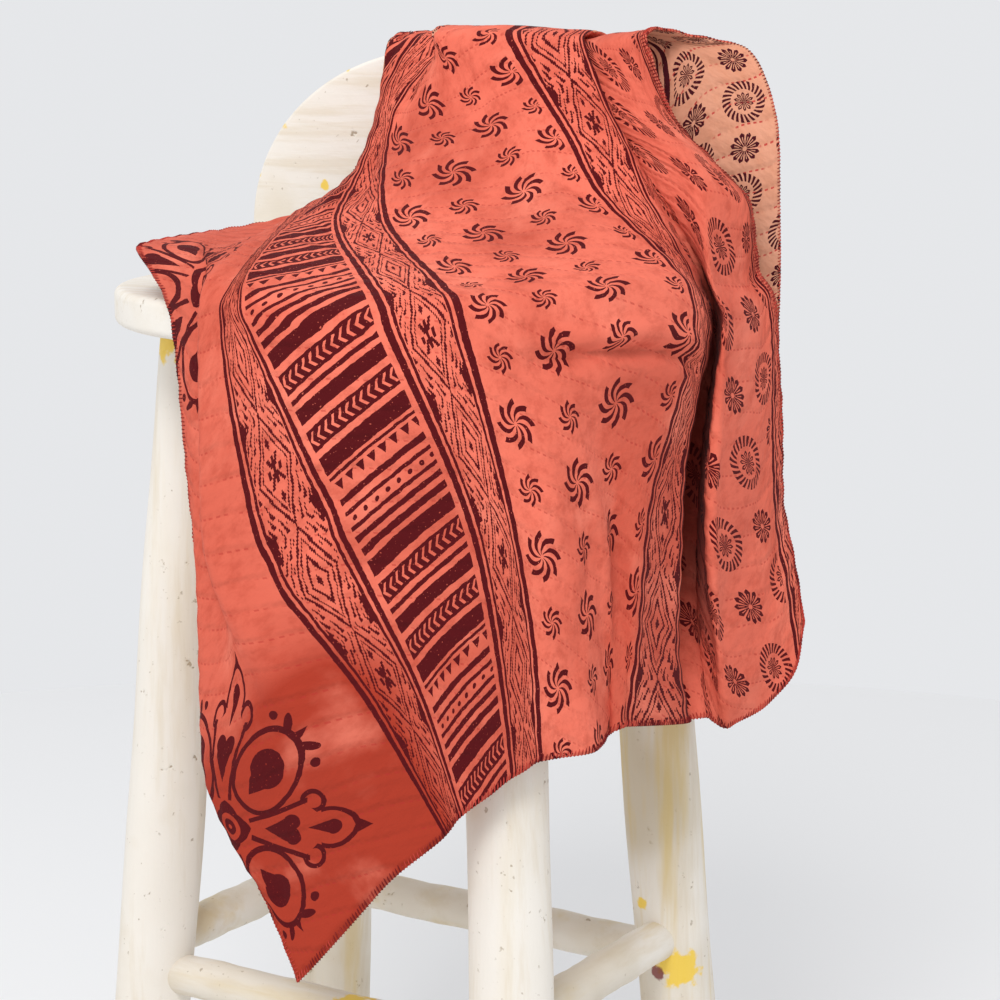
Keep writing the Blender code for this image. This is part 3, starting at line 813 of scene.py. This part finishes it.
def build_medallion():
    """A floral medallion: a ringed eye, four palmettes with a heart and a drop, and four broad petals."""
    group = Group("medallion", ("Across", "Along"), ("Ink",))
    turns, reach = turn_and_reach(group.read("Across"), group.read("Along"))

    def folded(offset):
        lean = abs(repeat(turns - offset, 0.25)) * (2 * pi)
        return reach * lean.math("COSINE"), reach * lean.math("SINE")

    a, b = folded(0.0)
    heart = wedge(a, b, 27, 47, 0.42) | ellipse(a, b - 4.3, 47.5, 5.0, 4.6).below(1)
    drop = wedge(a, b, 57, 72, 0.26) | ellipse(a, b, 73, 4.6, 4.2).below(1)
    hood = (ellipse(a, b, 72, 14.5, 10.5).near(1, 0.115) & a.above(66)) | wedge(a, b, 94, 85, -0.55)
    curl = ellipse(a, b - 15.5, 62, 6.2, 5.6).near(1, 0.24) & ((a - 62) + (b - 15.5) * 1.2).above(-6.5)
    stem = (b - (a - 17) * 0.27).near(5.0, 1.45) & a.near(38, 21)
    ink = heart | drop | hood | curl | stem
    c, d = folded(0.125)
    core = wedge(c, d, 32, 50, 0.62) | ellipse(c, d, 50, 10, 11).below(1)
    petal = ellipse(c, d, 47, 25, 19.5).near(1, 0.075)
    leaf = ellipse((c - 74) * 0.6 + (d - 8.5) * 0.8, (d - 8.5) * 0.6 - (c - 74) * 0.8, 0, 6.0, 2.3)
    tip = wedge(c, d, 80, 70, -0.35) | leaf.below(1)
    dots = ellipse(c, d - 18, 71, 2.6, 2.6).below(1)
    ink = ink | core | petal | tip | dots
    eye = (reach + abs(repeat(turns, 0.25)) * 34).below(16.5) & reach.above(8.6)
    group.give("Ink", ink | eye | (reach.below(5.2) & reach.above(1.4)))
    return group.tree


BORDER_GROUP = build_border()
WHIRL_GROUP = build_whirl()
RING_GROUP = build_ring_and_star()
MEDALLION_GROUP = build_medallion()


def printed(tree, motif, **places):
    """The ink of a motif's group at the given places, each a field or a number."""
    return Field(grouped(tree, motif, places)["Ink"])


def shaken(flat, x, s, across, along):
    """The place with the small shakes of a hand-cut block's edges, in mm."""
    shake = noise(flat, 210.0) - 0.5
    return x + (shake * across), s - (shake * along)


def missed(flat, ink):
    """The ink without the specks that the block missed."""
    return ink * (noise(flat, 700.0, detail=1.0).ramp(0.68, 0.76) * -0.75 + 1)


def lattice_print(tree, x, s, lattice):
    """Rings and stars on a leaning lattice."""
    (lean, left, pitch, wide), (climb, low, rise, tall) = lattice
    column, row = (x + (s * lean) - left) / pitch, (s + (x * climb) - low) / rise
    return printed(tree, RING_GROUP, Column=column, Row=row, Wide=wide, Tall=tall)


def inside(x, field, edge):
    """1 inside a printed field, edge mm from where it starts and ends."""
    return x.near(sum(field) / 2, (field[1] - field[0]) / 2 - edge)


def patch(x, s, across, along):
    """1 where every ramp across and along is at its end."""
    ramps = [x.ramp(*ends) for ends in across] + [s.ramp(*ends) for ends in along]
    whole = ramps[0]
    for ramp in ramps[1:]:
        whole = whole & ramp
    return whole


MEDALLION = (42.7, 95.3)
MEDALLION_REPEAT = 335
MEDALLION_RIGHT = (0.57, -0.82)  # its sideways axis, per mm across and along
MEDALLION_UP = (0.55, 0.66)
MEDALLION_PULL = (0.38, 0.2)  # how far its upper half is pulled out of shape
MEDALLION_EDGE = 142
WHIRL_COLUMN = (333, 46)
WHIRL_ROW = (43, 40.5)
WHIRL_LARGE, WHIRL_SMALL = 15.5, 10.2
# On the slope the whirls' rows lie closer, by DRAWN mm in all and by FAN per mm across and along from
# FAN_FROM, and the whirls are slimmer by the share SLIM.
WHIRL_DRAWN, WHIRL_DRAWN_FROM = 39, (245, 326)
WHIRL_FAN, WHIRL_FAN_FROM = 0.0039, (380, 330)
WHIRL_SLIM, WHIRL_SLIM_FROM = -0.15, (330, 420)
# Rings and stars: for columns and for rows, lean, start and pitch, and how large a cell is drawn.
FACE_LATTICE = ((0.373, 706, 37.1, 44.0), (0.331, 344.9, 47.2, 42.0))
BACK_LATTICE = ((0.119, 753.4, 35.5, 41.0), (0.6925, 1015.7, 29.4, 36.0))
BACK_SLANT = 0.27  # the peach back's two lines lean this much across per mm along
BACK_LINES = ((814.5, 0.9), (820.5, 2.0))  # middle and half width
BACK_BORDER = (817, 8.5)  # where no ring is printed
# Where the painted shadow in the valley's deep fold lies: ramps across, then ramps along.
VALLEY_SHADOW_PLACE = (((528, 545), (640, 628)), ((300, 275), (30, 110)))
# Where the face is mixed towards its deep dye: how much, then the ramps across and along that bound the
# place.
# Low in the left field, at the ladder's foot and next to the right valley this is painted shade; in the
# valley's deep fold it is a painted shadow.
DYE_AND_PAINTED_SHADE = (
    ("painted shade low in the left field", 0.5, ((170, 110),), ((190, 60),)),
    ("painted shade at the ladder's foot", 0.5, ((320, 290),), ((170, 90),)),
    ("painted shade next to the right valley", 0.55, ((385, 440), (545, 525)), ((250, 210),)),
    ("rings and flap", 0.22, ((520, 560),), ()),
    ("valley fold", 0.6, *VALLEY_SHADOW_PLACE),
)


def build_face_print_and_shade():
    """All the prints of the coral face, with the uneven edges and missed specks of hand block printing, and
    its deep dye and painted shade.
    """
    group = Group("coral face print and painted shade", ("Flat",), ("Ink", "Depth"))
    tree, flat = group.tree, group.place("Flat")
    x, s = flat_place(group)
    # Deeper dye over the plain field, and painted shade that grows towards the front hem low in it.
    dye_and_shade_share = x.ramp(205, 120) * ((s.ramp(150, 100) * 0.5) + 0.44)
    for _, much, across, along in DYE_AND_PAINTED_SHADE:
        dye_and_shade_share = dye_and_shade_share + (patch(x, s, across, along) * much)
    group.give("Depth", dye_and_shade_share)
    fold = patch(x, s, *VALLEY_SHADOW_PLACE)
    x, s = shaken(flat, x, s, 1.4, 1.2)
    v = s - (x & PRINT_LEVEL) * PRINT_SHEAR
    p = x - BORDER_MIDDLES[0]
    for near, far in zip(BORDER_MIDDLES, BORDER_MIDDLES[1:]):
        p = p - (x.above((near + far) / 2) * (far - near))
    ink = printed(tree, BORDER_GROUP, Across=p, Along=v - PRINT_START) & p.near(0, BORDER_HALF)
    ink = ink | (ladder_ink(x, v) & inside(x, LADDER, FIELD_EDGES[0]))
    column = (x - WHIRL_COLUMN[0]) / WHIRL_COLUMN[1]
    fan_across, fan_along = WHIRL_FAN_FROM
    drawn = s.ramp(*WHIRL_DRAWN_FROM) * WHIRL_DRAWN
    drawn = drawn + (((s - fan_along) | 0.0) * (x - fan_across) * WHIRL_FAN)
    row = (v + drawn - WHIRL_ROW[0]) / WHIRL_ROW[1]
    odd = abs(repeat(column.math("ROUND") + row.math("ROUND"), 2.0))
    size = (odd * (WHIRL_SMALL - WHIRL_LARGE)) + WHIRL_LARGE
    broad = (s.ramp(*WHIRL_SLIM_FROM) * WHIRL_SLIM) + 1
    whirl = printed(tree, WHIRL_GROUP, Across=repeat(column, 1.0) * broad * WHIRL_COLUMN[1] / size,
                    Along=repeat(row, 1.0) * WHIRL_ROW[1] / size)
    ink = ink | (whirl & inside(x, WHIRLS, FIELD_EDGES[1]))
    ink = ink | (lattice_print(tree, x, s, FACE_LATTICE) & inside(x, RINGS, FIELD_EDGES[2]))
    dx, ds = x - MEDALLION[0], repeat(s - MEDALLION[1], MEDALLION_REPEAT)
    across, along = ((dx * axis[0]) + (ds * axis[1]) for axis in (MEDALLION_RIGHT, MEDALLION_UP))
    upper = along | 0.0
    across, along = across + (upper * MEDALLION_PULL[0]), along + (upper * MEDALLION_PULL[1])
    medallion = printed(tree, MEDALLION_GROUP, Across=across, Along=along)
    # The fold's share of the ink colour is a painted shadow in the deep valley, not print.
    group.give("Ink", missed(flat, ink | (medallion & x.below(MEDALLION_EDGE))) | (fold * 0.55))
    return group.tree


def build_back_print():
    """Rings and stars of the peach back, parted by the two dark lines of a narrow border."""
    group = Group("peach back print", ("Flat",), ("Ink", "Depth"))
    x, s = flat_place(group)
    group.give("Depth", x.ramp(600, 300) * 0.4)
    x, s = shaken(group.place("Flat"), x, s, 1.2, 1.2)
    border = x + (s * BACK_SLANT)
    ink = lattice_print(group.tree, x, s, BACK_LATTICE) & border.near(*BACK_BORDER).flipped()
    for middle, half in BACK_LINES:
        ink = ink | border.near(middle, half)
    group.give("Ink", missed(group.place("Flat"), ink))
    return group.tree


STITCH_PITCH, STITCH_LENGTH, THREAD_WIDTH = 4.4, 2.3, 1.2
STITCH_SHIFT, ROW_WANDER = 2.3, 7  # from row to row, and how far a row strays from its line


def build_running_stitch():
    """Rows of running stitch, and how the cloth puckers between them."""
    group = Group("running stitch", ("Flat", "Slant", "Row"), ("Thread", "Height"))
    flat, row = group.place("Flat"), group.read("Row")
    x, s = flat_place(group)
    wander = (noise(flat, 22.0, detail=1.0) - 0.5) * ROW_WANDER
    rows = s + (x * group.read("Slant")) + wander
    away = abs(repeat(rows, row))
    dash = (x + ((rows / row).math("ROUND") * STITCH_SHIFT)).math("PINGPONG", STITCH_PITCH / 2)
    shown = noise(flat, 60.0, detail=1.0).ramp(0.34, 0.54)
    group.give("Thread", away.below(THREAD_WIDTH / 2) & dash.below(STITCH_LENGTH / 2) & shown)
    weave = noise(flat, 1500.0, detail=1.0)
    crinkle = noise(vector_math("MULTIPLY", flat, (80, 125, 1))["Vector"], 1.0, detail=3.0)
    tucked = (away.ramp(0.0, 4.5) * 0.55) + (dash.ramp(0.4, 2.2) & away.ramp(4.0, 0.0)) * 0.12
    group.give("Height", tucked + crinkle + (weave * 0.12))
    return group.tree


FACE_PRINT_AND_SHADE = build_face_print_and_shade()
BACK_PRINT = build_back_print()
RUNNING_STITCH = build_running_stitch()

# For each side: dye, deep dye and pale dye, ink, thread and how much of it shows, lean and pitch of rows.
# The deep dye is also the colour of the painted shade, and on the face the ink also colours the painted
# valley shadow.
CORAL = ((0.82, 0.178, 0.114), (0.38, 0.040, 0.020), (0.88, 0.240, 0.160))
CORAL_LOOK = (CORAL, (0.088, 0.005, 0.007), (0.40, 0.030, 0.024), 0.5, FACE_SLANT, FACE_ROW)
PEACH = ((0.77, 0.358, 0.232), (0.66, 0.25, 0.135), (0.80, 0.43, 0.30))
PEACH_LOOK = (PEACH, (0.07, 0.008, 0.014), (0.55, 0.06, 0.05), 0.95, 0.81, 14.5)


# Patches in the dye: scale, detail and roughness of the noise, where it starts and is full, and strength.
CLOUDS = (9.0, 4.0, 0.5, 0.42, 0.68, 0.48)
FADED = (17.0, 5.0, 0.5, 0.50, 0.74, 0.6)
MOTTLE = (75.0, 4.0, 0.7, 0.44, 0.70, 0.36)


def patches(place, look):
    """Soft-edged patches of dye at a place."""
    scale, detail, roughness, start, full, strength = look
    return noise(place, scale, detail, roughness).ramp(start, full) * strength


def quilt_cotton(name, print_and_shade_group, look):
    """One side of the quilt: dye that has faded in clouds, deeper dye and painted shade where its print
    group gives them, its print, and its running stitch.
    """
    (plain, deep, pale), ink, thread, shown, slant, row = look
    made, tree, shader = new_material(name)
    uv = tree.nodes.new("ShaderNodeUVMap")
    uv.uv_map = "flat quilt"
    flat = uv.outputs["UV"]
    prints_and_shade = grouped(tree, print_and_shade_group, {"Flat": flat})
    stitch = grouped(tree, RUNNING_STITCH, {"Flat": flat, "Slant": slant, "Row": row})
    # The deep dye goes where clouds fall and where the print group asks for deeper dye and painted shade.
    colour = blend_colours(patches(flat, CLOUDS) | (Field(prints_and_shade["Depth"]) * 0.9), plain, deep)
    colour = blend_colours(patches(flat, FADED), colour, pale)
    colour = blend_colours(patches(flat, MOTTLE), colour, deep)
    colour = blend_colours(Field(stitch["Thread"]) * shown, colour, thread)
    # On the face the ink colour also paints the shadow in the valley's deep fold.
    colour = blend_colours(Field(prints_and_shade["Ink"]), colour, ink)
    inputs = {"Base Color": colour, "Roughness": 0.88, "Sheen Weight": 0.02, "Sheen Roughness": 0.6,
              "Specular IOR Level": 0.08}
    finish(shader, inputs, stitch["Height"], strength=0.85, distance=0.0018)
    return made


coral_face = quilt_cotton("coral cotton", FACE_PRINT_AND_SHADE, CORAL_LOOK)
peach_back = quilt_cotton("peach cotton", BACK_PRINT, PEACH_LOOK)
quilt.data.materials.append(coral_face)
quilt.data.materials.append(peach_back)
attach(quilt, "root")
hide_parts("quilt")

# ---- Quilt: whipped hems ----
# The four hems are turned in and whipped over with doubled cotton thread, dark red with coral between.
# Each stitch goes over the edge from the coral face to the peach back.

WHIP_PITCH, WHIP_DEPTH, WHIP_STAND = 2.3, 4.2, 0.15  # along the hem, in from it, and off the cloth
WHIP_RADIUS, WHIP_END = 0.42, 0.45  # the thread's radius, and the share of it left at the ends
WHIP_SIDES = 4
WHIP_DARK, WHIP_BRIGHT = (0.17, 0.010, 0.012), (0.50, 0.055, 0.04)


# Where each hem lies in the cloth's grid, and the line one cell inside it.
HEMS = ((np.s_[:, -1], np.s_[:, -2]), (np.s_[:, 0], np.s_[:, 1]), (0, 1), (-1, -2))


def add_thread(built, path):
    """A thin thread through the points of a path, in mm, added to a mesh."""
    rings = []
    for i, point in enumerate(path):
        ahead = path[min(i + 1, len(path) - 1)] - path[max(i - 1, 0)]
        ahead.normalize()
        side = ahead.orthogonal().normalized()
        other = ahead.cross(side)
        slim = WHIP_RADIUS * (WHIP_END if i in (0, len(path) - 1) else 1.0)
        spots = [point + side * slim * cos(turn) + other * slim * sin(turn) for turn in turns_of(WHIP_SIDES)]
        rings.append([built.verts.new(SEAT_AXIS + spot * MM) for spot in spots])
    skin(built, rings)


def whipped_hems(name):
    """Threads over all four hems, their depths a little uneven."""
    built = bmesh.new()
    face = face_normals(cloth)
    for hem, inner in HEMS:
        edge = cloth[hem]
        lengths = np.concatenate([[0], np.cumsum(np.linalg.norm(np.diff(edge, axis=0), axis=1))])
        count = int(lengths[-1] / WHIP_PITCH)
        wanted = (np.arange(count) + 0.5) * lengths[-1] / count

        def read(values):
            return np.stack([np.interp(wanted, lengths, values[:, i]) for i in range(3)], axis=1)

        spots, normals = read(edge), read(face[hem])
        inward = read(cloth[inner]) - spots
        inward /= np.linalg.norm(inward, axis=1, keepdims=True)
        ahead = np.gradient(spots, axis=0)
        ahead /= np.linalg.norm(ahead, axis=1, keepdims=True)
        for k in range(count):
            at, up, in_, on = Vector(spots[k]), Vector(normals[k]), Vector(inward[k]), Vector(ahead[k])
            deep = WHIP_DEPTH * (0.85 + 0.3 * ((k * 7) % 5) / 5)
            stand = CLOTH / 2 + WHIP_STAND
            path = [
                at + in_ * deep + up * (stand - 0.3) + on * 1.1,
                at + in_ * deep * 0.55 + up * (stand + 0.15) + on * 0.6,
                at - in_ * 0.1 + up * stand * 0.8,
                at - in_ * 0.35 - up * stand * 0.3,
                at + in_ * 0.6 - up * (stand + 0.1) - on * 0.3,
                at + in_ * 1.5 - up * (stand - 0.3) - on * 0.6,
            ]
            add_thread(built, path)
    return mesh_object(name, built)


def whip_thread():
    """Doubled thread, dark red in some stitches and coral in others."""
    made, tree, shader = new_material("hem thread")
    coordinates = tree.nodes.new("ShaderNodeTexCoord").outputs["Object"]
    dyed = blend_colours(noise(coordinates, 45.0).ramp(0.42, 0.56), WHIP_DARK, WHIP_BRIGHT)
    inputs = {"Base Color": dyed, "Roughness": 0.8, "Specular IOR Level": 0.15}
    finish(shader, inputs, noise(coordinates, 2500.0), strength=0.4, distance=0.0003)
    return made


hems = whipped_hems("whipped_hems")
hems.data.materials.append(whip_thread())
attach(hems, "root")

# ---- Floor, light and camera ----
# A plain pale floor that ends behind the stool. A soft light stands high behind the camera's left, and a
# weaker, broader one farther left. The camera is a little above the seat and looks down at it.

FLOOR_RADIUS = 1.75


def pale_floor():
    """A round floor, flat at z = 0."""
    built = bmesh.new()
    bmesh.ops.create_circle(built, cap_ends=True, radius=FLOOR_RADIUS, segments=160)
    made = mesh_object("floor", built, smooth=False)
    paint, _, shader = new_material("floor finish")
    fill(shader, {"Base Color": (0.85, 0.85, 0.85, 1), "Roughness": 0.6})
    made.data.materials.append(paint)
    return made


floor = pale_floor()

LIGHT_AIM = Vector((0, 0, 0.6))


def soft_light(name, place, size, watts):
    """A square soft light at a place, aimed at the seat."""
    lamp = bpy.data.lights.new(name, "AREA")
    lamp.energy = watts
    lamp.size = size
    made = linked(name, lamp)
    made.location = place
    made.rotation_euler = (LIGHT_AIM - Vector(place)).to_track_quat("-Z", "Y").to_euler()


soft_light("key light", (0.8, -2.1, 2.6), 1.0, 46)
soft_light("fill light", (-2.2, -1.4, 1.9), 1.8, 7)

sky = bpy.data.worlds.new("pale room")
bpy.context.scene.world = sky
sky.use_nodes = True
fill(sky.node_tree.nodes["Background"], {"Color": (0.79, 0.80, 0.82, 1), "Strength": 1.0})
bpy.context.scene.view_settings.view_transform = "Standard"

LENS = 90
CAMERA_PLACE = Vector((0.9167, -1.3438, 0.1427)) + SEAT_AXIS
CAMERA_YAW = 32.3
CAMERA_PITCH = -10.0
camera = linked("camera", bpy.data.cameras.new("camera"))
camera.data.lens = LENS
camera.location = CAMERA_PLACE
camera.rotation_euler = (radians(90 + CAMERA_PITCH), 0, radians(CAMERA_YAW))
bpy.context.scene.camera = camera
